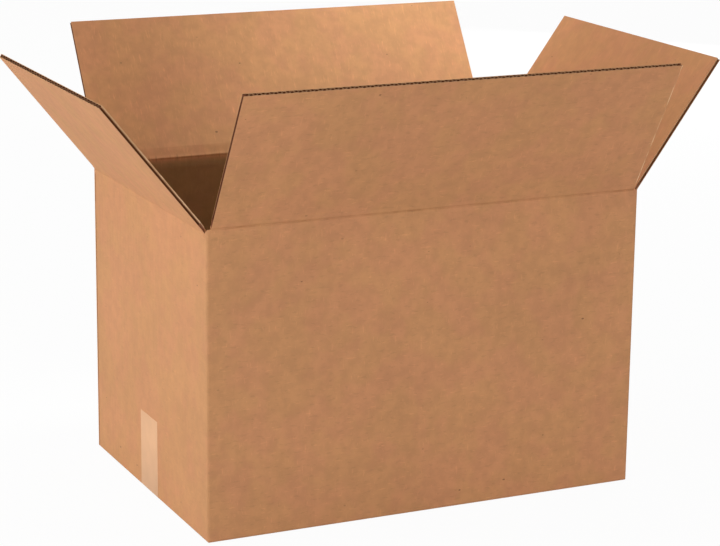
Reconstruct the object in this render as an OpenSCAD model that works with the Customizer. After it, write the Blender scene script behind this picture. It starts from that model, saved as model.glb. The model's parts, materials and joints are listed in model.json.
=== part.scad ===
// Open corrugated shipping box. One sheet of board is slotted, scored and folded into
// four walls and a double bottom, and its four top flaps hinge at their creases.
// The origin is the middle of the underside. X runs along the front, Y to the back, Z up.

/* [Box] */
// Outer length, along the front
box_l = 464; // [340:1:700]
// Outer width, front to back
box_w = 320; // [200:1:440]
// Height from the underside to the crease of the front and back flaps
crease_h = 308; // [180:1:600]
// Outer radius of the folded corners and bottom edges
fold_r = 2.5; // [1:0.1:3]
// Radius in the hollow of a bottom fold
heel_r = 2; // [0.5:0.1:4]

/* [Board] */
// Thickness of the corrugated board
board_t = 4; // [3.5:0.1:6]
// Thickness of each flat liner
liner_t = 0.4; // [0.2:0.05:0.6]
// Thickness of the fluted sheet between the liners
medium_t = 0.35; // [0.2:0.05:0.6]
// Distance from the crest of one flute to the next
flute_pitch = 7.9; // [6:0.1:10]

/* [Creases] */
// Gap between a panel and its flap along the crease
crease_gap = 0.3; // [0.2:0.05:0.6]
// Width of the band on each side of a crease where the board is pressed thinner
score_w = 6; // [2:0.5:12]
// How much thinner the board is at the crease
score_d = 1; // [0:0.1:2]

/* [Flaps] */
// Gap between the front and back flaps when they are folded shut
seam_gap = 2; // [1:0.5:10]
// Clearance beside a flap that folds in between two walls
slot_clear = 1; // [0.5:0.1:3]
// Clearance between flaps that lie on each other
lay_gap = 0.3; // [0.2:0.05:1]
// Angle by which the front flap leans out from upright, in degrees
front_angle = 30; // [0:0.5:80]
// Angle by which the back flap leans out from upright, in degrees
back_angle = 32; // [0:0.5:80]
// Angle by which the left flap leans out from upright, in degrees
left_angle = 39; // [0:0.5:80]
// Angle by which the right flap leans out from upright, in degrees
right_angle = 36; // [0:0.5:80]

/* [Glued corner] */
// Width of the tab that is glued inside the left wall
tab_w = 35; // [20:1:60]
// Height that the tab loses to its slope at each end
tab_slope = 8; // [2:1:20]
// Space between the tab and the flaps above and below it
tab_clear = 6; // [2:1:20]
// Width of the open joint between the left wall's raw edge and the back wall
joint_gap = 1.5; // [0.5:0.1:4]

/* [Tape] */
// Width of the tape under the bottom seam
tape_w = 48; // [36:1:75]
// Thickness of the tape
tape_t = 0.2; // [0.1:0.05:0.4]
// Height of the tape's tails up the left and right walls
tape_tail = 81; // [30:1:120]

/* [Hidden] */

// All four top flaps and all four bottom flaps are cut to one length, half of the width.
flap_l = (box_w - seam_gap) / 2;

// Each slot between two flaps is this wide on either side of the corner.
slot_side = board_t + slot_clear;
long_flap_w = box_l - 2 * slot_side;
short_flap_w = box_w - 2 * slot_side;

// The short flaps fold in first, so their creases lie one board lower than the long ones.
short_crease_h = crease_h - board_t - lay_gap;

// The short bottom flaps lie on the long ones.
short_floor_z = board_t + lay_gap;

// Size and slope of the wave that the fluted sheet makes between the liners.
wave_h = (board_t - 2 * liner_t - medium_t) / 2;
wave_slope = 2 * PI * wave_h / flute_pitch;

// Straight pieces in each quarter turn of a fold.
fold_steps = 4;

// Length by which a cut runs past the face that it opens.
past = 1;

kraft = [0.76, 0.55, 0.37];
kraft_pale = [0.80, 0.58, 0.41];
tape_tan = [0.86, 0.68, 0.49];

// Points of an arc, from one angle to another.
function arc(x, y, r, from, to) =
    [for (i = [0:fold_steps])
        let (a = from + (to - from) * i / fold_steps)
        [x + r * cos(a), y + r * sin(a)]];

// Height in the board of the hollow's roof, at a phase of the wave in degrees.
function roof(a) =
    board_t / 2 + wave_h * cos(a)
    - medium_t / 2 * sqrt(1 + pow(wave_slope * sin(a), 2));

// Section of one hollow: it stands on a liner, and its roof follows the fluted sheet.
function hollow(pitch) =
    [for (a = [-150:60:150])
        [pitch * a / 360, abs(a) > 120 ? liner_t : roof(a)]];

// The same section standing on the other liner.
function turned(section) = [for (p = section) [p[0], board_t - p[1]]];

// Sends a flat section's X to Y and its Y to Z, and draws it out along X.
module along_x(length) {
    rotate([90, 0, 90])
        linear_extrude(length, center = true)
            children();
}

// Keeps a flat section's X, sends its Y to Z, and draws it out along Y.
module along_y(length) {
    rotate([90, 0, 0])
        linear_extrude(length, center = true)
            children();
}

// Section of a wall, with its outer face at 0 and the board to the right. The top is
// mitred where the flap hinges, under a band pressed thinner, and the foot runs into
// the bottom fold, whose underside rises to foot_z at the inner face.
module wall_section(top_z, foot_z) {
    root = board_t - score_d;
    start = top_z - crease_gap / 2;
    polygon([
        [0, start],
        [0, 0],
        [fold_r, 0],
        [board_t, foot_z],
        [board_t, start - board_t - score_w],
        [root, start - root]
    ]);
}

// Section of a bottom flap, from inside the wall's foot to the flap's cut edge.
module floor_section(z) {
    top = z + board_t;
    polygon(concat(
        [[board_t / 2, z], [flap_l, z], [flap_l, top]],
        arc(board_t + heel_r, top + heel_r, heel_r, 270, 180),
        [[board_t / 2, top + heel_r]]
    ));
}

// Front wall with its bottom flap. The back wall is the same, turned round.
module long_side() {
    along_x(box_l)
        translate([-box_w / 2, 0])
            wall_section(crease_h, 0);
    along_x(long_flap_w)
        translate([-box_w / 2, 0])
            floor_section(0);
}

// Left wall with its bottom flap. The right wall is the same, turned round.
module short_side() {
    along_y(box_w)
        translate([-box_l / 2, 0])
            wall_section(short_crease_h, short_floor_z);
    along_y(short_flap_w)
        translate([-box_l / 2, 0])
            floor_section(short_floor_z);
}

// Outline of the box from one side: a rectangle with two round lower corners.
module rounded_below(length) {
    half = length / 2;
    polygon(concat(
        arc(-half + fold_r, fold_r, fold_r, 180, 270),
        arc(half - fold_r, fold_r, fold_r, 270, 360),
        [[half, crease_h + past], [-half, crease_h + past]]
    ));
}

// Outline of the box from above: a rectangle with four round corners.
module rounded_plan() {
    x = box_l / 2 - fold_r;
    y = box_w / 2 - fold_r;
    polygon(concat(
        arc(x, y, fold_r, 0, 90),
        arc(-x, y, fold_r, 90, 180),
        arc(-x, -y, fold_r, 180, 270),
        arc(x, -y, fold_r, 270, 360)
    ));
}

// The space inside all the rounded folds, which trims the square ends of the walls.
module fold_envelope() {
    intersection() {
        translate([0, 0, -past])
            linear_extrude(crease_h + 2 * past)
                rounded_plan();
        along_y(box_w + 2 * past)
            rounded_below(box_l);
        along_x(box_l + 2 * past)
            rounded_below(box_w);
    }
}

// Tab that carries on from the back wall and is glued to the inside of the left wall.
module glue_tab() {
    low = short_floor_z + board_t + tab_clear;
    high = short_crease_h - board_t - tab_clear;
    back = box_w / 2 - board_t / 2;
    front = box_w / 2 - board_t - tab_w;
    translate([-box_l / 2 + board_t * 3 / 2, 0, 0])
        along_x(board_t)
            polygon([
                [back, low],
                [front, low + tab_slope],
                [front, high - tab_slope],
                [back, high]
            ]);
}

// Open joint down the back left corner, where the left wall's raw edge stops short.
module joint_slot() {
    translate([-box_l / 2 - past, box_w / 2 - board_t - joint_gap, -past])
        cube([board_t + past, joint_gap, crease_h + 2 * past]);
}

// Section of the tape, flush with the underside and on the faces of the end walls.
module tape_section(depth) {
    x = box_l / 2;
    c = x - fold_r;
    z = tape_t + fold_r;
    polygon(concat(
        [[-x - depth, tape_tail]],
        arc(-c, z, fold_r + depth, 180, 270),
        arc(c, z, fold_r + depth, 270, 360),
        [[x + depth, tape_tail], [x, tape_tail]],
        arc(c, z, fold_r, 360, 270),
        arc(-c, z, fold_r, 270, 180),
        [[-x, tape_tail]]
    ));
}

// Walls and bottom flaps, folded from one sheet and glued at the back left corner.
module carton_body() {
    color(kraft)
        difference() {
            intersection() {
                union() {
                    long_side();
                    rotate([0, 0, 180]) long_side();
                    short_side();
                    rotate([0, 0, 180]) short_side();
                    glue_tab();
                }
                fold_envelope();
            }
            joint_slot();
            // The board is pressed in by the tape's thickness where the tape runs.
            along_y(tape_w) tape_section(2 * tape_t);
        }
}

// One strip of tape under the seam of the bottom flaps and up both end walls.
module bottom_tape() {
    color(tape_tan)
        along_y(tape_w) tape_section(tape_t);
}

// Open hollows of the corrugation, which run from the crease to the flap's cut edge.
// The spacing is fitted to the width, so that both side cuts run down a hollow.
module flutes(width) {
    cells = round(2 * width / flute_pitch);
    step = width / cells;
    section = hollow(2 * step);
    start = board_t + score_w + crease_gap;
    for (i = [0:cells])
        translate([-width / 2 + i * step, 0, start])
            linear_extrude(flap_l - start + past)
                polygon(i % 2 == 0 ? section : turned(section));
}

// A top flap standing upright on its crease, with its outer face at Y 0.
module flap_board(width) {
    root = board_t - score_d;
    start = crease_gap / 2;
    difference() {
        along_x(width)
            polygon([
                [0, start],
                [root, start + root],
                [board_t, start + board_t + score_w],
                [board_t, flap_l],
                [0, flap_l]
            ]);
        flutes(width);
    }
}

// Turns a flap to its side of the box, sets it on its crease and leans it out.
module on_crease(turn, reach, height, angle) {
    rotate([0, 0, turn])
        translate([0, -reach / 2, height])
            rotate([angle, 0, 0])
                children();
}

module front_flap() {
    color(kraft)
        on_crease(0, box_w, crease_h, front_angle)
            flap_board(long_flap_w);
}

module back_flap() {
    color(kraft)
        on_crease(180, box_w, crease_h, back_angle)
            flap_board(long_flap_w);
}

module left_flap() {
    color(kraft_pale)
        on_crease(-90, box_l, short_crease_h, left_angle)
            flap_board(short_flap_w);
}

module right_flap() {
    color(kraft_pale)
        on_crease(90, box_l, short_crease_h, right_angle)
            flap_board(short_flap_w);
}

carton_body();
front_flap();
back_flap();
left_flap();
right_flap();
bottom_tape();
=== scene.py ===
# %% [markdown]
# # An open shipping box
#
# The box is one sheet of corrugated board, slotted, scored and folded. Its four top flaps stand
# open, and its bottom is folded shut under one strip of tape. The walls, the flaps with their open
# flutes and the tape arrive as finished solids at real size, so this lesson doesn't model them
# again. It adds what a solid can't say: the fold that joins each flap to its wall, the paper's
# colour and fibres, the raw cut edges, the film of the tape, a studio and a camera.

# %% Load the solids
import json
import math

import bmesh
import bpy
from mathutils import Matrix, Vector, noise


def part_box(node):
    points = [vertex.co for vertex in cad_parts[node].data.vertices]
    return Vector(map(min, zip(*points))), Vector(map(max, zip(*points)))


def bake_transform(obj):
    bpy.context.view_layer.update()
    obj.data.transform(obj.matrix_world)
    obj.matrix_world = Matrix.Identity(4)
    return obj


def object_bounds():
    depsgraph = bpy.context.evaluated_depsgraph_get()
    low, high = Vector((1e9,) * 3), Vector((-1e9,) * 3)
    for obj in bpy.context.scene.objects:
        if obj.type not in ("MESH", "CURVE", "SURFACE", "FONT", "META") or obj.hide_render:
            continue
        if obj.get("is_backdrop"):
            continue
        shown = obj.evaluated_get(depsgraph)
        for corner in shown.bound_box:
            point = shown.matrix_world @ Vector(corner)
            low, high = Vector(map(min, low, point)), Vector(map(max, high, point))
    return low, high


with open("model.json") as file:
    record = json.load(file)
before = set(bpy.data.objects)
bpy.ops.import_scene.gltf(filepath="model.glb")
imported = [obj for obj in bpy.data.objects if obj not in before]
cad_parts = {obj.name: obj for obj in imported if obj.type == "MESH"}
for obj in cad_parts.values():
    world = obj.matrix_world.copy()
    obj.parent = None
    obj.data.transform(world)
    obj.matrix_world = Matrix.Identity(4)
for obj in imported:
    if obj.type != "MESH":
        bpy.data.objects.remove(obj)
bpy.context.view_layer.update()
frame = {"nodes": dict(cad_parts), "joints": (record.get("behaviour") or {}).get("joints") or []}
joints = {joint["child"]: joint for joint in frame["joints"]}
print("solids:", ", ".join(sorted(frame["nodes"])))

# %% [markdown]
# ## Sizes that the finish needs
#
# Every length here is in metres. The solids know the rest, and a helper reads it from them. The
# lean of a flap isn't written twice either: a flap shuts when it has turned by its lean and a
# quarter turn more, which is the lower limit of its hinge.

# %% Sizes
MM = 0.001
BOARD_THICKNESS = 4 * MM
FLUTE_PITCH = 7.9 * MM
FLAP_LENGTH = 159 * MM
# The score presses the board thin beside a crease. A flap's flutes start just past that band.
SCORE_REACH = 10.2 * MM
UP = Vector((0, 0, 1))
ALONG_BOX = Vector((1, 0, 0))


class Crease:
    """Where a flap hinges: a point on the line, its direction, the way in, and the flap's lean."""

    def __init__(self, flap):
        joint = joints[flap]
        self.flap = flap
        self.point = Vector(joint["pos_m"])
        self.along = Vector(joint["axis"])
        self.inward = UP.cross(self.along)
        self.long = abs(self.along.dot(ALONG_BOX)) > 0.5
        self.lean = math.radians(-joint["range_deg"][0] - 90)
        low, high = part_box(flap)
        self.length = abs((high - low).dot(self.along))

    def turned(self, share):
        """The wall's own directions, inward and up, turned by a share of the flap's lean."""
        turn = Matrix.Rotation(self.lean * share, 3, self.along)
        return turn @ self.inward, turn @ UP


creases = [Crease(flap) for flap in ("front_flap", "back_flap", "left_flap", "right_flap")]
for crease in creases:
    width = crease.length / MM
    lean = math.degrees(crease.lean)
    print(f"{crease.flap}: {width:.0f} mm wide, leans {lean:.0f} degrees")

# %% [markdown]
# ## Camera
#
# The photograph was taken with a long lens from the front left, a little above the box. The
# camera's place, turn and lens were worked out from the corners of the box in the picture. A
# matrix built from three plain turns says the same as a camera dragged into place, and it can be
# read: turn to the right, tip down, and roll by half a degree.

# %% Camera
CAMERA_PLACE = Vector((-1.0188, -2.1715, 0.8240))
CAMERA_TURN = math.radians(25.14)
CAMERA_TIP = math.radians(14.45)
CAMERA_ROLL = math.radians(0.65)
LENS_LENGTH = 120.07
SENSOR_WIDTH = 36

camera_data = bpy.data.cameras.new("camera")
camera_data.lens = LENS_LENGTH
camera_data.sensor_width = SENSOR_WIDTH
camera = bpy.data.objects.new("camera", camera_data)
camera.matrix_world = (
    Matrix.Translation(CAMERA_PLACE)
    @ Matrix.Rotation(-CAMERA_TURN, 4, "Z")
    @ Matrix.Rotation(math.pi / 2 - CAMERA_TIP, 4, "X")
    @ Matrix.Rotation(CAMERA_ROLL, 4, "Z")
)
bpy.context.scene.collection.objects.link(camera)
bpy.context.scene.camera = camera
print("camera:", [round(number, 2) for number in CAMERA_PLACE], "with a lens of", LENS_LENGTH, "mm")

# %% [markdown]
# ## A short way to write materials
#
# A material is a net of nodes, and wiring it line by line hides what it does. The small class
# below adds a node, sets or wires its inputs, and hands back the output, so that a finish reads
# from top to bottom like a recipe. A world has the same kind of net, so the sky uses it too.


# %% Recipe
def colour(red, green, blue):
    """A colour as a painter's program shows it, from 0 to 255, made linear for the renderer."""
    levels = [level / 255 for level in (red, green, blue)]
    return [v / 12.92 if v <= 0.04045 else ((v + 0.055) / 1.055) ** 2.4 for v in levels] + [1.0]


class Recipe:
    """The net of nodes of a material or of a world, under construction."""

    def __init__(self, owner):
        self.owner = owner
        self.owner.use_nodes = True
        self.net = owner.node_tree
        self.net.nodes.clear()

    def node(self, kind, inputs, **settings):
        """Adds one node. Inputs are numbers, colours or other nodes' outputs, by name or place."""
        made = self.net.nodes.new(kind)
        for name, value in settings.items():
            setattr(made, name, value)
        for name, value in inputs.items():
            if isinstance(value, bpy.types.NodeSocket):
                self.net.links.new(value, made.inputs[name])
            else:
                made.inputs[name].default_value = value
        return made

    def coordinate(self, name):
        """Where a point is on its piece, or which way the surface faces there."""
        return self.node("ShaderNodeTexCoord", {}).outputs[name]

    def sum(self, operation, *values):
        """One step of arithmetic, such as ADD or GREATER_THAN."""
        return self.node("ShaderNodeMath", dict(enumerate(values)), operation=operation).outputs[0]

    def times(self, *factors):
        """The product of several numbers."""
        product = factors[0]
        for factor in factors[1:]:
            product = self.sum("MULTIPLY", product, factor)
        return product

    def part(self, vector):
        """The three numbers of a vector."""
        return self.node("ShaderNodeSeparateXYZ", {0: vector}).outputs

    def vector(self, x, y, z):
        """A vector from its three numbers."""
        return self.node("ShaderNodeCombineXYZ", {0: x, 1: y, 2: z}).outputs[0]

    def between(self, value, low, high, to_low=0.0, to_high=1.0):
        """Maps a number from one span to another, smoothly and without passing the ends."""
        inputs = {0: value, 1: low, 2: high, 3: to_low, 4: to_high}
        return self.node("ShaderNodeMapRange", inputs, interpolation_type="SMOOTHSTEP").outputs[0]

    def cloud(self, vector, scale, detail=2.0, roughness=0.5):
        """Soft noise, from about 0.3 to 0.7."""
        inputs = {"Vector": vector, "Scale": scale, "Detail": detail, "Roughness": roughness}
        return self.node("ShaderNodeTexNoise", inputs).outputs[0]

    def blend(self, share, first, second):
        """A number part of the way from the first to the second."""
        return self.node("ShaderNodeMix", {0: share, 2: first, 3: second}).outputs[0]

    def mix(self, share, first, second, blend="MIX"):
        """A colour part of the way from the first to the second."""
        inputs = {0: share, 6: first, 7: second}
        node = self.node("ShaderNodeMix", inputs, data_type="RGBA", blend_type=blend)
        return node.outputs[2]

    def shade(self, base, factor):
        """A colour made darker or lighter by a factor."""
        grey = self.vector(factor, factor, factor)
        return self.mix(1.0, base, grey, "MULTIPLY")

    def surface(self, base, roughness, bumps, **constants):
        """The paint itself, with its relief, as the material's output."""
        normal = None
        for height, depth in bumps:
            inputs = {"Height": height, "Distance": depth, "Strength": 1.0}
            if normal is not None:
                inputs["Normal"] = normal
            normal = self.node("ShaderNodeBump", inputs).outputs[0]
        inputs = {"Base Color": base, "Roughness": roughness, "Normal": normal}
        inputs.update({name.replace("_", " "): value for name, value in constants.items()})
        paint = self.node("ShaderNodeBsdfPrincipled", inputs)
        self.node("ShaderNodeOutputMaterial", {"Surface": paint.outputs[0]})
        return self.owner


def new_finish(name):
    """An empty material, ready for a recipe."""
    return Recipe(bpy.data.materials.new(name))


# %% [markdown]
# ## Which way a panel runs
#
# The paper's pattern needs to know which way the box runs on every panel. A point's own place
# gives it: on the front, the back and their flaps the run is X, and on the two ends it is Y. The
# recipe asks the surface which way it faces to tell them apart, so that it fits every panel. The
# height up the wall and the distance across a bottom flap are both read as the rise. A sheet
# number shifts the pattern, so that the two faces of a wall don't show the same fibres.

# %% Directions on a panel
LEVEL_FACING = 0.95
# Level faces above this height are those of the short bottom flaps, which run the other way.
LONG_FLOOR_TOP = BOARD_THICKNESS + 0.1 * MM
SIDE_SHIFT = 3.7
FACE_SHIFT = 7.1


def facing_sizes(recipe):
    """How far the surface faces along X, Y and Z, whichever way round."""
    return [recipe.sum("ABSOLUTE", number) for number in recipe.part(recipe.coordinate("Normal"))]


def panel_directions(recipe, place):
    """Run, rise, distance from the middle, and 1 on an end, from a point's place and facing."""
    x, y, z = recipe.part(place)
    side_x, side_y, side_z = facing_sizes(recipe)
    on_end = recipe.sum("GREATER_THAN", side_x, side_y)
    level = recipe.sum("GREATER_THAN", side_z, LEVEL_FACING)
    inner_level = recipe.sum("GREATER_THAN", z, LONG_FLOOR_TOP)
    on_end = recipe.blend(level, on_end, inner_level)
    run = recipe.blend(on_end, x, y)
    across = recipe.blend(on_end, y, x)
    rise = recipe.blend(level, z, across)
    return run, rise, across, on_end


def sheet_number(recipe, across, inner):
    """A number that differs between the two sides of the box and the two faces of a wall."""
    side = recipe.sum("GREATER_THAN", across, 0.0)
    return recipe.sum("ADD", recipe.times(side, SIDE_SHIFT), recipe.times(inner, FACE_SHIFT))


def flute_wave(recipe, run):
    """A wave from -1 to 1 at the flutes' pitch."""
    return recipe.sum("SINE", recipe.sum("MULTIPLY", run, 2 * math.pi / FLUTE_PITCH))


# %% [markdown]
# ## Kraft board
#
# Kraft liner is unbleached paper. Seen close it has clouds of ochre and pink, because recycled and
# fresh pulp never mix fully; short fibres, most of them along the box; a few dark specks of bark;
# and the washboard, the faint ripple of the flutes under the sheet. The clouds and the fibres are
# noise at the right scale and stretch. A fibre is only the peak of a stretched noise, so that
# fibres stay few. A speck is the middle of one of a few cells in a Voronoi pattern, and the
# washboard is a plain wave that is stronger in some places than in others.
#
# The inner liner is the paler one, and its marks stand upright, as the flutes do. The soft lamps
# leave the inside of the box lighter than the photograph shows it, so below the creases the inner
# liner is painted a duller and darker brown.

# %% Marks in the paper
SPECK_CELLS = 38.0
SPECK_CHOICE = 0.86


def strokes(recipe, run, rise, sheet, run_scale, rise_scale, peak):
    """Short marks, 0 to 1, where a noise that is stretched along one direction peaks."""
    x = recipe.sum("MULTIPLY", run, run_scale)
    y = recipe.sum("MULTIPLY", rise, rise_scale)
    layer = recipe.sum("ADD", sheet, run_scale)
    stretched = recipe.vector(x, y, layer)
    return recipe.between(recipe.cloud(stretched, 1.0, 2, 0.5), peak, peak + 0.12)


def bark_specks(recipe, run, rise, sheet):
    """Tiny dark dots, where a point lies near the middle of one of a few cells."""
    flat = recipe.vector(recipe.times(run, 0.6), recipe.sum("ADD", rise, sheet), 0.0)
    inputs = {"Vector": flat, "Scale": SPECK_CELLS, "Randomness": 1.0}
    cells = recipe.node("ShaderNodeTexVoronoi", inputs, voronoi_dimensions="2D")
    draw = recipe.part(cells.outputs["Color"])
    reach = recipe.between(draw[1], 0.0, 1.0, 0.014, 0.034)
    near = recipe.sum("LESS_THAN", cells.outputs["Distance"], reach)
    chosen = recipe.sum("GREATER_THAN", draw[0], SPECK_CHOICE)
    return recipe.times(near, chosen, recipe.between(draw[2], 0.0, 1.0, 0.2, 0.65))


# %% Kraft paper
OCHRE = colour(200, 143, 96)
PINK = colour(202, 141, 98)
SPECK = colour(96, 58, 34)
OUTER_LINER = (1.0, 1.0, 1.0, 1.0)
INNER_LINER = (1.11, 1.09, 1.07, 1.0)
# Below the top of the walls the inner liner is painted darker and duller, as shade.
INNER_LINER_SHADED_BELOW = (0.59, 0.645, 0.54, 1.0)
DARK_FIBRE = 0.92
PALE_FIBRE = 1.10
UPRIGHT_FIBRE = 1.09
DARK_MARKS_INSIDE = 0.5
MARKS_ON_ENDS = 0.65
RIPPLE_RELIEF = 0.035 * MM
MOTTLE_RELIEF = 0.16 * MM
SPECK_RELIEF = -0.05 * MM
PAPER_ROUGHNESS = 0.80
PAPER_SHEEN = 0.4


def kraft_paper(recipe, place, run, rise, on_end, sheet, inner, inner_tone_and_shade=INNER_LINER):
    """Colour and relief of the paper, of the inner liner where inner is 1."""
    pulp = recipe.between(recipe.cloud(place, 24, 3, 0.55), 0.40, 0.62)
    paper = recipe.mix(pulp, OCHRE, PINK)
    liner = recipe.mix(inner, OUTER_LINER, inner_tone_and_shade)
    paper = recipe.mix(1.0, paper, liner, "MULTIPLY")

    slow = recipe.between(recipe.cloud(place, 8, 2), 0.3, 0.7, 0.965, 1.035)
    mottled = recipe.cloud(place, 80, 3, 0.56)
    mottle = recipe.between(mottled, 0.3, 0.7, 0.94, 1.06)
    # The inner liner's marks stand upright, with the flutes, and its dark ones are fainter.
    along = recipe.blend(inner, run, rise)
    over = recipe.blend(inner, rise, run)
    dark_fibres = strokes(recipe, along, over, sheet, 110, 330, 0.58)
    dark_fibres = recipe.times(dark_fibres, recipe.between(inner, 0.0, 1.0, 1.0, DARK_MARKS_INSIDE))
    pale_fibres = strokes(recipe, along, over, sheet, 90, 420, 0.61)
    upright_fibres = strokes(recipe, run, rise, sheet, 430, 90, 0.61)
    marks = recipe.times(
        mottle,
        recipe.between(dark_fibres, 0.0, 1.0, 1.0, DARK_FIBRE),
        recipe.between(pale_fibres, 0.0, 1.0, 1.0, PALE_FIBRE),
        recipe.between(upright_fibres, 0.0, 1.0, 1.0, UPRIGHT_FIBRE),
    )
    # The two ends face the strongest light, which flattens their marks.
    clear = recipe.blend(on_end, 1.0, MARKS_ON_ENDS)
    marks = recipe.blend(clear, 1.0, marks)
    paper = recipe.shade(paper, recipe.times(slow, marks))
    speck = bark_specks(recipe, run, rise, sheet)
    paper = recipe.mix(speck, paper, SPECK)

    uneven = recipe.between(recipe.cloud(place, 14, 2), 0.35, 0.65, 0.2, 1.0)
    ripple = recipe.times(flute_wave(recipe, run), uneven)
    return paper, [(ripple, RIPPLE_RELIEF), (mottled, MOTTLE_RELIEF), (speck, SPECK_RELIEF)]


def matt_paper(recipe, paper, bumps):
    """Paper has a weak, wide sheen."""
    return recipe.surface(paper, PAPER_ROUGHNESS, bumps, Specular_IOR_Level=PAPER_SHEEN)


# %% Tones of the two liners, with painted shade and painted light
DULL_BELOW = 7 * MM
DULL_ABOVE = 1 * MM
# The outer face of an end's flap is painted a little paler, as painted light.
END_FLAP_PAINTED_LIGHT = 1.045


def inner_tone_with_shade_at(recipe, z):
    """The inner liner's tone, with painted shade that makes it duller and darker just below the top
    of the walls.
    """
    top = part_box("carton_body")[1].z
    below = recipe.between(z, top - DULL_BELOW, top + DULL_ABOVE, 1.0, 0.0)
    return recipe.mix(below, INNER_LINER, INNER_LINER_SHADED_BELOW)


def paint_light_on_end_flap(recipe, paper, inner, on_flap):
    """The outer paper of an end's flap, painted a little paler than its wall's, as painted light.
    """
    share = recipe.times(recipe.sum("SUBTRACT", 1.0, inner), on_flap)
    return recipe.shade(paper, recipe.between(share, 0.0, 1.0, 1.0, END_FLAP_PAINTED_LIGHT))


# %% Board of the walls
# Painted shade on the upright folds of the walls.
FOLD_PAINTED_SHADE = 0.93


def board_of_box():
    """Walls and bottom flaps."""
    recipe = new_finish("kraft board")
    place = recipe.coordinate("Object")
    run, rise, across, on_end = panel_directions(recipe, place)

    # The inside is what lies within the middle of the board, on every side and on the bottom.
    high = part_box("carton_body")[1]
    x, y, z = recipe.part(place)
    inner = recipe.times(
        recipe.sum("LESS_THAN", recipe.sum("ABSOLUTE", x), high.x - BOARD_THICKNESS / 2),
        recipe.sum("LESS_THAN", recipe.sum("ABSOLUTE", y), high.y - BOARD_THICKNESS / 2),
        recipe.sum("GREATER_THAN", z, BOARD_THICKNESS / 2),
    )
    sheet = sheet_number(recipe, across, inner)
    inner_tone_and_shade = inner_tone_with_shade_at(recipe, z)
    paper, bumps = kraft_paper(recipe, place, run, rise, on_end, sheet, inner, inner_tone_and_shade)

    # The upright folds, which face both ways at once, are painted a little darker, as shade.
    side_x, side_y = facing_sizes(recipe)[:2]
    painted_tone = recipe.between(recipe.sum("MINIMUM", side_x, side_y), 0.1, 0.5, 1.0, FOLD_PAINTED_SHADE)
    return matt_paper(recipe, recipe.shade(paper, painted_tone), bumps)


# %% [markdown]
# ## Cut edges of the flaps
#
# A flap is cut through all three sheets of the board. Along its free edge the cut shows two lines
# of liner, the browner wave of the fluted sheet between them, and a dark hollow at every half
# flute. Down a side the knife runs along the flutes, so that edge shows one long dark hollow
# between the two liners. Beside the crease the score has crushed the flutes, and the hollow
# narrows to a seam. Beside some side cuts a narrow rim of the face is painted pale.
#
# The solid has the flutes for real, but in this soft light such small hollows come out too pale,
# so they are painted dark as well. The place in the flap tells the cut from the hollow: a Mapping
# node turns a point into the flap's own directions, where Y is the depth below the outer face and
# Z the distance from the crease. The cut is what lies in the plane of the free edge or of a side
# edge, and the hollow is all the rest below the two faces.

# %% Place in a flap
class FlapPlace:
    """Where a point lies in a flap, measured from the crease, the faces and the cut edges."""

    def __init__(self, recipe, crease, place):
        inward, upward = crease.turned(1)
        own = Matrix((crease.along, inward, upward))
        inputs = {
            "Vector": place,
            "Location": -(own @ crease.point),
            "Rotation": own.to_euler(),
        }
        turned = recipe.node("ShaderNodeMapping", inputs, vector_type="POINT").outputs[0]
        self.side, self.depth, self.distance = recipe.part(turned)
        off_middle = recipe.sum("SUBTRACT", self.depth, BOARD_THICKNESS / 2)
        self.from_middle = recipe.sum("ABSOLUTE", off_middle)
        off_side = recipe.sum("ABSOLUTE", self.side)
        self.from_side = recipe.sum("SUBTRACT", crease.length / 2, off_side)
        self.from_end = recipe.sum("SUBTRACT", FLAP_LENGTH, self.distance)
        self.from_cut = recipe.sum("MINIMUM", self.from_side, self.from_end)


# %% Pale rim beside a cut
PALE_RIM = colour(244, 203, 160)
RIM_START = 0.3 * MM
RIM_END = 1.2 * MM
RIM_LOW = 60 * MM
RIM_HIGH = 130 * MM
SHORT_RIM_LEAST = 0.45
# A knife never meets the flutes at the same place on two flaps. So each flap has its own depth,
# from the outer face, down to which its side hollow is painted dark as shade, and its own share of
# pale rim.
SIDE_CUT = {
    "front_flap": (4.0 * MM, 1.0),
    "back_flap": (4.0 * MM, 0.6),
    "left_flap": (2.4 * MM, 0.65),
    "right_flap": (0.4 * MM, 0.1),
}


def pale_rim(recipe, crease, at, place, inner):
    """1 on the pale rim beside one side cut, outside on a long flap and inside on a short one."""
    painted_tone = recipe.between(recipe.cloud(place, 60, 2), 0.35, 0.6, 0.1, SIDE_CUT[crease.flap][1])
    rim_face = recipe.sum("SUBTRACT", 1.0, inner) if crease.long else inner
    rim_side = recipe.sum("GREATER_THAN", at.side, 0.0)
    near_cut = recipe.between(at.from_side, RIM_START, RIM_END, 1.0, 0.0)
    least = 1.0 if crease.long else SHORT_RIM_LEAST
    rim_fade = recipe.between(at.distance, RIM_LOW, RIM_HIGH, 1.0, least)
    return recipe.times(painted_tone, rim_face, rim_side, near_cut, rim_fade)


# %% Dark hollows, painted as shade
# The colour of the painted shade in the hollows and the seam.
HOLLOW_SHADE = colour(98, 40, 0)
CUT_DEPTH = 0.12 * MM
SOFT_STEP = 0.3 * MM
SHEET_HALF = 1.25 * MM
# The fluted sheet on a cut is mixed towards the painted shade, more on the short flaps: partly its
# own browner paper, partly shade.
SHEET_BROWN_LONG = 0.25
SHEET_BROWN_SHORT = 0.75
CORE_HALF = 1.5 * MM
CORE_DARK = 0.95
LINING_DARK = 0.8
PAST_HOLLOW = 0.1
SEAM_DARK = 0.85
SEAM_HALF = (0.7 * MM, 1.4 * MM)


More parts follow.
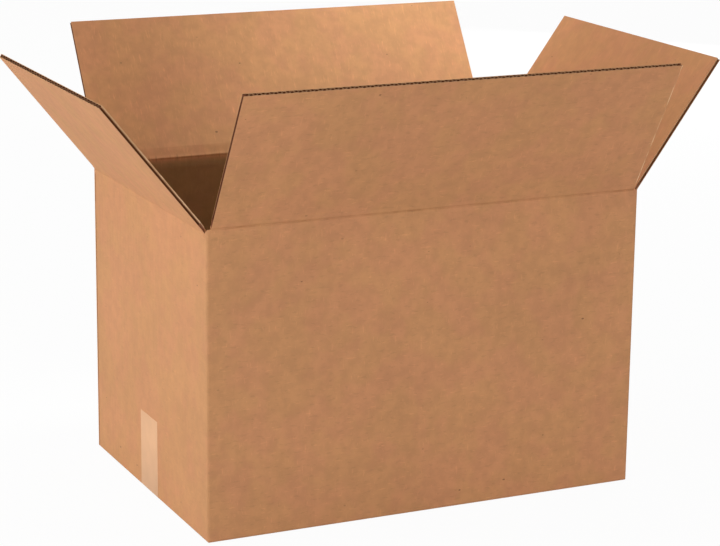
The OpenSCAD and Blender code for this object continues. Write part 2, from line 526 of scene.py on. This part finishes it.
def free_edge_dark(recipe, crease, at):
    """How dark the free edge is painted: shade in a hollow every half flute, and the sheet brown,
    partly as shade.
    """
    hollows = round(2 * crease.length / FLUTE_PITCH)
    from_first = recipe.sum("ADD", at.side, crease.length / 2)
    turn = recipe.sum("MULTIPLY", from_first, math.pi * hollows / crease.length)
    centre = recipe.between(recipe.sum("ABSOLUTE", recipe.sum("COSINE", turn)), 0.15, 0.65)
    centre = recipe.sum("MAXIMUM", centre, recipe.between(at.from_cut, 0.8 * MM, 2 * MM))
    dark = recipe.times(centre, recipe.between(at.from_cut, CUT_DEPTH, 0.5 * MM))
    sheet = recipe.between(at.from_middle, SHEET_HALF, SHEET_HALF + SOFT_STEP, 1.0, 0.0)
    brown = SHEET_BROWN_LONG if crease.long else SHEET_BROWN_SHORT
    return recipe.sum("MAXIMUM", dark, recipe.times(sheet, brown))


def side_edge_dark(recipe, crease, at):
    """How much painted shade lies in the one long hollow down a side edge."""
    hollow = SIDE_CUT[crease.flap][0]
    lining = recipe.between(at.from_cut, CUT_DEPTH, 0.9 * MM, 0.0, LINING_DARK)
    core = recipe.between(at.from_middle, CORE_HALF, CORE_HALF + SOFT_STEP, CORE_DARK, 0.0)
    in_hollow = recipe.between(at.depth, hollow - 0.5 * MM, hollow + 0.7 * MM, 1.0, PAST_HOLLOW)
    return recipe.times(in_hollow, recipe.sum("MAXIMUM", lining, core))


def seam_dark(recipe, at, at_side):
    """How much painted shade lies in the seam of crushed board, which narrows to the fold."""
    scored = recipe.times(at_side, recipe.sum("LESS_THAN", at.distance, SCORE_REACH))
    half = recipe.between(at.distance, 0.0, SCORE_REACH, *SEAM_HALF)
    return recipe.times(scored, recipe.sum("LESS_THAN", at.from_middle, half), SEAM_DARK)


# %% Board of a flap
BARE_EDGE = colour(200, 152, 108)
FACE_DEPTH = 0.06 * MM
SIDE_REACH = 4 * MM


def board_of_flap(crease):
    """Paper on the faces of a flap, and its three sheets on the cut edges."""
    recipe = new_finish("kraft board " + crease.flap)
    place = recipe.coordinate("Object")
    at = FlapPlace(recipe, crease, place)
    inner = recipe.sum("GREATER_THAN", at.depth, BOARD_THICKNESS / 2)
    run, rise, across, on_end = panel_directions(recipe, place)
    sheet = sheet_number(recipe, across, inner)
    paper, bumps = kraft_paper(recipe, place, run, rise, on_end, sheet, inner)
    # An end's flap gets painted light on its outer face.
    if not crease.long:
        paper = paint_light_on_end_flap(recipe, paper, inner, 1.0)

    # Opened board is what lies below the faces, past the score or in the plane of a side cut.
    below_face = recipe.sum("LESS_THAN", at.from_middle, BOARD_THICKNESS / 2 - FACE_DEPTH)
    past_score = recipe.sum("GREATER_THAN", at.distance, SCORE_REACH)
    at_side = recipe.sum("LESS_THAN", at.from_side, CUT_DEPTH)
    opened = recipe.times(below_face, recipe.sum("MAXIMUM", past_score, at_side))
    paper = recipe.mix(opened, paper, BARE_EDGE)
    paper = recipe.mix(pale_rim(recipe, crease, at, place, inner), paper, PALE_RIM)

    # The hollows and the seam are painted dark, as shade.
    beside = recipe.sum("LESS_THAN", at.from_side, SIDE_REACH)
    end_dark = free_edge_dark(recipe, crease, at)
    side_dark = side_edge_dark(recipe, crease, at)
    dark = recipe.times(opened, recipe.blend(beside, end_dark, side_dark))
    dark = recipe.sum("MAXIMUM", dark, seam_dark(recipe, at, at_side))
    return matt_paper(recipe, recipe.mix(dark, paper, HOLLOW_SHADE), bumps)


def wear(piece, slot, *materials):
    """Gives a piece its finishes. The slot that it belongs to is not used."""
    piece.data.materials.clear()
    for material in materials:
        piece.data.materials.append(material)
    print(piece.name, "wears", " and ".join(material.name for material in materials))


wear(frame["nodes"]["carton_body"], "kraft_board", board_of_box())
for crease in creases:
    wear(frame["nodes"][crease.flap], "kraft_board", board_of_flap(crease))

# %% [markdown]
# ## The folds
#
# The solids of a wall and its flap only meet along a line, so that the flap can turn. On the real
# box they are one sheet: the score crushes the flutes, the outer paper puffs up a little on both
# sides of the line, and the inner paper runs round the inside of the fold. One strip per flap
# makes that. The outer half of its section is drawn once in the wall's directions and mirrored
# into the flap's. The inner half has points on the wall and on the flap, and an arc between them
# that turns with the flap's lean. The section becomes a face, and the face is extruded along the
# crease and cut into short lengths, so that the puffed paper can waver as it does on a box that a
# machine has scored.

# %% Section of a fold
# Each pair is a distance inward from the outer face and a height above the crease, in millimetres.
OUTER_HALF = [(0.30, -7.0), (-0.16, -4.2), (-0.34, -2.6), (-0.22, -1.2), (0.02, -0.25)]
WALL_INSIDE = [(3.12, -3.1), (3.66, -6.6), (4.02, -9.6), (4.08, -11.4), (3.9, -17)]
FLAP_INSIDE = [(3.12, -3.1), (3.8, -5.6), (3.95, -10.6)]
INNER_RADIUS = 3.12 * MM
ARC_STEPS = 8


def fold_section(crease):
    """Points of the strip's section in the part's own directions, from the wall's outer face."""
    wall_in, wall_up = crease.turned(0)
    flap_in, flap_up = crease.turned(1)
    outer = [wall_in * o * MM + wall_up * u * MM for o, u in OUTER_HALF]
    outer += [flap_in * o * MM - flap_up * u * MM for o, u in reversed(OUTER_HALF)]
    inner = [flap_in * o * MM - flap_up * u * MM for o, u in reversed(FLAP_INSIDE)]
    shares = [1 - step / ARC_STEPS for step in range(ARC_STEPS + 1)]
    inner += [crease.turned(share)[0] * INNER_RADIUS for share in shares]
    inner += [wall_in * o * MM + wall_up * u * MM for o, u in WALL_INSIDE]
    return outer + inner


def inner_share(crease, point):
    """1 for a point of the strip's inner face, and 0 for one of its outer face."""
    offset = point - crease.point
    half = 1 if offset.z > 0 else 0
    return float(offset.dot(crease.turned(half)[0]) > BOARD_THICKNESS / 2)


# %% Mesh of a strip
STRIP_STEPS = 60
END_GAP = 0.1 * MM


def strip_mesh(crease):
    """The section drawn out along the crease and cut into short lengths."""
    mesh = bmesh.new()
    length = crease.length - 2 * END_GAP
    start = crease.point - crease.along * length / 2
    corners = [mesh.verts.new(start + point) for point in fold_section(crease)]
    section = mesh.faces.new(corners)
    grown = bmesh.ops.extrude_face_region(mesh, geom=[section])["geom"]
    moved = [item for item in grown if isinstance(item, bmesh.types.BMVert)]
    bmesh.ops.translate(mesh, verts=moved, vec=crease.along * length)
    lengthwise = [
        edge for edge in mesh.edges
        if abs((edge.verts[0].co - edge.verts[1].co).dot(crease.along)) > length / 2
    ]
    bmesh.ops.subdivide_edges(mesh, edges=lengthwise, cuts=STRIP_STEPS - 1, use_grid_fill=True)
    bmesh.ops.recalc_face_normals(mesh, faces=mesh.faces)
    return mesh


# %% Strip with wavering paper
OUTER_REACH = 0.5 * MM
WAVER_SCALE = 90
WAVER_HEIGHT = 0.12 * MM
END_FACING = 0.9
SHARP_EDGE = math.radians(50)


def fold_strip(crease, name):
    """The strip as a piece, with wavering outer paper and its pattern tied to it."""
    mesh = strip_mesh(crease)
    rest = [Vector(vert.co) for vert in mesh.verts]
    for vert in mesh.verts:
        offset = vert.co - crease.point
        if offset.dot(crease.inward) < OUTER_REACH:
            vert.co -= crease.inward * noise.noise(vert.co * WAVER_SCALE) * WAVER_HEIGHT
    for face in mesh.faces:
        if abs(face.normal.dot(crease.along)) > END_FACING:
            face.material_index = 1
    data = bpy.data.meshes.new(name)
    mesh.to_mesh(data)
    mesh.free()

    # The pattern is tied to where each point is at rest.
    rest_place = data.attributes.new("rest_place", "FLOAT_VECTOR", "POINT")
    rest_place.data.foreach_set("vector", [number for point in rest for number in point])
    inner_side = data.attributes.new("inner_side", "FLOAT", "POINT")
    inner_side.data.foreach_set("value", [inner_share(crease, point) for point in rest])
    data.polygons.foreach_set("use_smooth", [True] * len(data.polygons))
    data.set_sharp_from_angle(angle=SHARP_EDGE)
    strip = bpy.data.objects.new(name, data)
    bpy.context.scene.collection.objects.link(strip)
    return strip


# %% Finish of the folds
# How far the pressed line turns to the pressed tone and painted shade, where a noise is lowest and
# highest.
LONG_CREASE_SHADE = (1.0, 0.5)
SHORT_CREASE_SHADE = (0.25, 0.05)
PRESSED_AND_SHADED = (0.77, 0.71, 0.63, 1.0)
CRUSHED = 0.78


def board_of_fold(crease):
    """The same paper, darker along the pressed line, partly pressed paper and partly painted shade,
    and at the flutes that were crushed.
    """
    recipe = new_finish("kraft board fold " + crease.flap)
    place = recipe.node("ShaderNodeAttribute", {}, attribute_name="rest_place").outputs["Vector"]
    inner = recipe.node("ShaderNodeAttribute", {}, attribute_name="inner_side").outputs["Fac"]
    x, y, z = recipe.part(place)
    run, across, on_end = (x, y, 0.0) if crease.long else (y, x, 1.0)
    above = recipe.sum("SUBTRACT", z, crease.point.z)
    sheet = sheet_number(recipe, across, inner)
    inner_tone_and_shade = inner_tone_with_shade_at(recipe, z)
    paper, bumps = kraft_paper(recipe, place, run, z, on_end, sheet, inner, inner_tone_and_shade)
    # The flap's half of an end's fold gets the same painted light.
    if not crease.long:
        on_flap = recipe.between(above, -2 * MM, 4 * MM)
        paper = paint_light_on_end_flap(recipe, paper, inner, on_flap)

    from_line = recipe.sum("ABSOLUTE", above)
    score_noise = recipe.between(recipe.cloud(place, 45, 3, 0.6), 0.35, 0.65)
    deepest = recipe.between(score_noise, 0.0, 1.0, *(LONG_CREASE_SHADE if crease.long else SHORT_CREASE_SHADE))
    # Along the crease the line is partly pressed paper and partly painted shade, darker on the long
    # creases.
    line = recipe.times(deepest, recipe.between(from_line, 0.2 * MM, 1.8 * MM, 1.0, 0.0))
    paper = recipe.mix(line, paper, recipe.mix(1.0, paper, PRESSED_AND_SHADED, "MULTIPLY"))
    tick = recipe.times(recipe.between(flute_wave(recipe, run), 0.5, 1.0), score_noise, inner)
    band = recipe.between(from_line, 1.5 * MM, 5 * MM, 1.0, 0.0)
    crushed = recipe.between(recipe.times(tick, band), 0.0, 1.0, 1.0, CRUSHED)
    return matt_paper(recipe, recipe.shade(paper, crushed), bumps)


def raw_edge():
    """The cut through the crushed board at the two ends of a fold, with painted shade in its
    hollows.
    """
    recipe = new_finish("cut board")
    torn_and_shade = recipe.cloud(recipe.coordinate("Object"), 900, 3, 0.6)
    torn_and_shade = recipe.between(torn_and_shade, 0.35, 0.6, 0.6, 1.0)
    edge = recipe.mix(torn_and_shade, BARE_EDGE, HOLLOW_SHADE)
    return recipe.surface(edge, 0.9, [(torn_and_shade, 0.2 * MM)], Specular_IOR_Level=0.2)


# %% Put the folds on
edge_finish = raw_edge()
for crease in creases:
    strip = fold_strip(crease, crease.flap.replace("_flap", "_fold"))
    start = crease.point + crease.turned(0)[0] * INNER_RADIUS
    end = crease.point + crease.turned(1)[0] * INNER_RADIUS
    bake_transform(strip)
    wear(strip, "kraft_board", board_of_fold(crease), edge_finish)
    print(strip.name, len(strip.data.polygons), "faces")

# %% [markdown]
# ## Tape
#
# Carton tape is a clear film with tan glue behind it. It shows the board's tone through, a little
# paler. It has a soft gloss and shallow wrinkles, and it is a little darker near the floor.

# %% Tape finish
TAPE_TAN = colour(228, 170, 118)
TAPE_DEEP = colour(220, 163, 112)
LOW_TAPE = 0.82
LOW_TAPE_TOP = 55 * MM
TAPE_ROUGHNESS = 0.38
TAPE_SHEEN = 0.5
WRINKLE_RELIEF = 0.05 * MM


def tape_film():
    """Tan film with a soft gloss and wrinkles."""
    recipe = new_finish("tan tape")
    place = recipe.coordinate("Object")
    glue = recipe.between(recipe.cloud(place, 30, 3), 0.35, 0.65)
    film = recipe.mix(glue, TAPE_TAN, TAPE_DEEP)
    z = recipe.part(place)[2]
    film = recipe.shade(film, recipe.between(z, 0.0, LOW_TAPE_TOP, LOW_TAPE, 1.0))
    bumps = [(recipe.cloud(place, 40, 2), WRINKLE_RELIEF)]
    return recipe.surface(film, TAPE_ROUGHNESS, bumps, Specular_IOR_Level=TAPE_SHEEN)


wear(frame["nodes"]["bottom_tape"], "packing_tape", tape_film())

# %% [markdown]
# ## Studio
#
# The photograph has no floor, only white, and its light is soft: strong from the left, weaker from
# the front and from the back right, and little from straight above, because the inside of the box
# is dark. Two softboxes on the left, one in front and one at the back right give that. A narrow
# strip light brightens the right end of the back flap, as in the photograph. The sky gives the
# rest: it is dim above and dark at the horizon, and only a direct look at it shows white. The
# floor lies a hair below the box, because two faces in one plane show as stripes from below.

# %% Sky and floor
HORIZON_LEVEL = 0.0
SKY_LEVEL = 0.48
FLOOR_PAPER = 0.75
FLOOR_WHITE = 0.96
FLOOR_GAP = 0.3 * MM
FLOOR_HALF = 12


def seen_directly(recipe):
    """1 for rays that come from the camera, a gloss or a clear piece, and 0 for light."""
    path = recipe.node("ShaderNodeLightPath", {}).outputs
    seen = recipe.sum("MAXIMUM", path["Is Camera Ray"], path["Is Glossy Ray"])
    return recipe.sum("MAXIMUM", seen, path["Is Transmission Ray"])


def light_tent():
    """A world that is dark at the horizon and dim above, and shows as white."""
    recipe = Recipe(bpy.data.worlds.new("light tent"))
    height = recipe.part(recipe.coordinate("Generated"))[2]
    tent = recipe.between(height, 0.0, 0.25, HORIZON_LEVEL, SKY_LEVEL)
    strength = recipe.blend(seen_directly(recipe), tent, 1.0)
    inputs = {"Color": (1, 1, 1, 1), "Strength": strength}
    light = recipe.node("ShaderNodeBackground", inputs).outputs[0]
    recipe.node("ShaderNodeOutputWorld", {"Surface": light})
    bpy.context.scene.world = recipe.owner


def white_floor():
    """Pale paper that takes the box's shadow, mixed with plain white where it is looked at."""
    mesh = bmesh.new()
    bmesh.ops.create_grid(mesh, x_segments=1, y_segments=1, size=FLOOR_HALF)
    data = bpy.data.meshes.new("floor")
    mesh.to_mesh(data)
    mesh.free()
    floor = bpy.data.objects.new("floor", data)
    floor.location.z = -FLOOR_GAP
    bpy.context.scene.collection.objects.link(floor)
    recipe = new_finish("white floor")
    grey = (FLOOR_PAPER, FLOOR_PAPER, FLOOR_PAPER, 1)
    matt = recipe.node("ShaderNodeBsdfDiffuse", {"Color": grey})
    white = recipe.node("ShaderNodeEmission", {"Color": (1, 1, 1, 1), "Strength": 1.0})
    share = recipe.sum("MULTIPLY", seen_directly(recipe), FLOOR_WHITE)
    both = recipe.node("ShaderNodeMixShader", {0: share, 1: matt.outputs[0], 2: white.outputs[0]})
    recipe.node("ShaderNodeOutputMaterial", {"Surface": both.outputs[0]})
    data.materials.append(recipe.owner)
    floor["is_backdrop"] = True


light_tent()
white_floor()
print("sky:", bpy.context.scene.world.name)

# %% Lamps
BOX_MIDDLE = (0, 0, 0.3)
BACK_FLAP_RIGHT = (0.20, 0.21, 0.38)
COOL = (0.92, 1.0, 1.0)
COOLER = (0.88, 1.0, 0.98)


def softbox(name, place, long, wide, power, aim=BOX_MIDDLE, spread=180):
    """A lamp behind a rectangle of cloth, its long side level. Spread is its beam's angle."""
    light = bpy.data.lights.new(name, "AREA")
    light.shape = "RECTANGLE"
    light.size = long
    light.size_y = wide
    light.energy = power
    light.spread = math.radians(spread)
    back = (Vector(place) - Vector(aim)).normalized()
    level = (ALONG_BOX - back * back.dot(ALONG_BOX)).normalized()
    turn = Matrix((level, back.cross(level), back)).transposed()
    lamp = bpy.data.objects.new(name, light)
    lamp.matrix_world = Matrix.Translation(place) @ turn.to_4x4()
    lamp.visible_camera = False
    bpy.context.scene.collection.objects.link(lamp)
    return light


left_light = softbox("left softbox", (-2.0, -0.4, 0.38), long=1.4, wide=0.7, power=14)
left_light.color = COOL
softbox("high left softbox", (-2.0, 0.6, 1.6), long=1.2, wide=1.2, power=15.5)
softbox("front softbox", (0.2, -2.9, 0.46), long=1.8, wide=0.9, power=20)
softbox("back right softbox", (2.2, 1.9, 0.40), long=1.8, wide=0.7, power=42)
strip_light = softbox(
    "strip light",
    (0.60, 0.225, 1.0),
    long=0.5,
    wide=0.12,
    power=0.50,
    aim=BACK_FLAP_RIGHT,
    spread=31,
)
strip_light.color = COOLER
bpy.context.scene.view_settings.view_transform = "Standard"
print("lamps:", ", ".join(sorted(light.name for light in bpy.data.lights)))

# %% [markdown]
# ## Size of the dressed box
#
# The dressed box has to stay the size of the solids, so its lowest and highest corners are printed.

# %% Size of the dressed box
shown_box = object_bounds()
for corner, name in zip(shown_box, ("lowest", "highest")):
    print(name, [round(number / MM, 1) for number in corner], "mm")
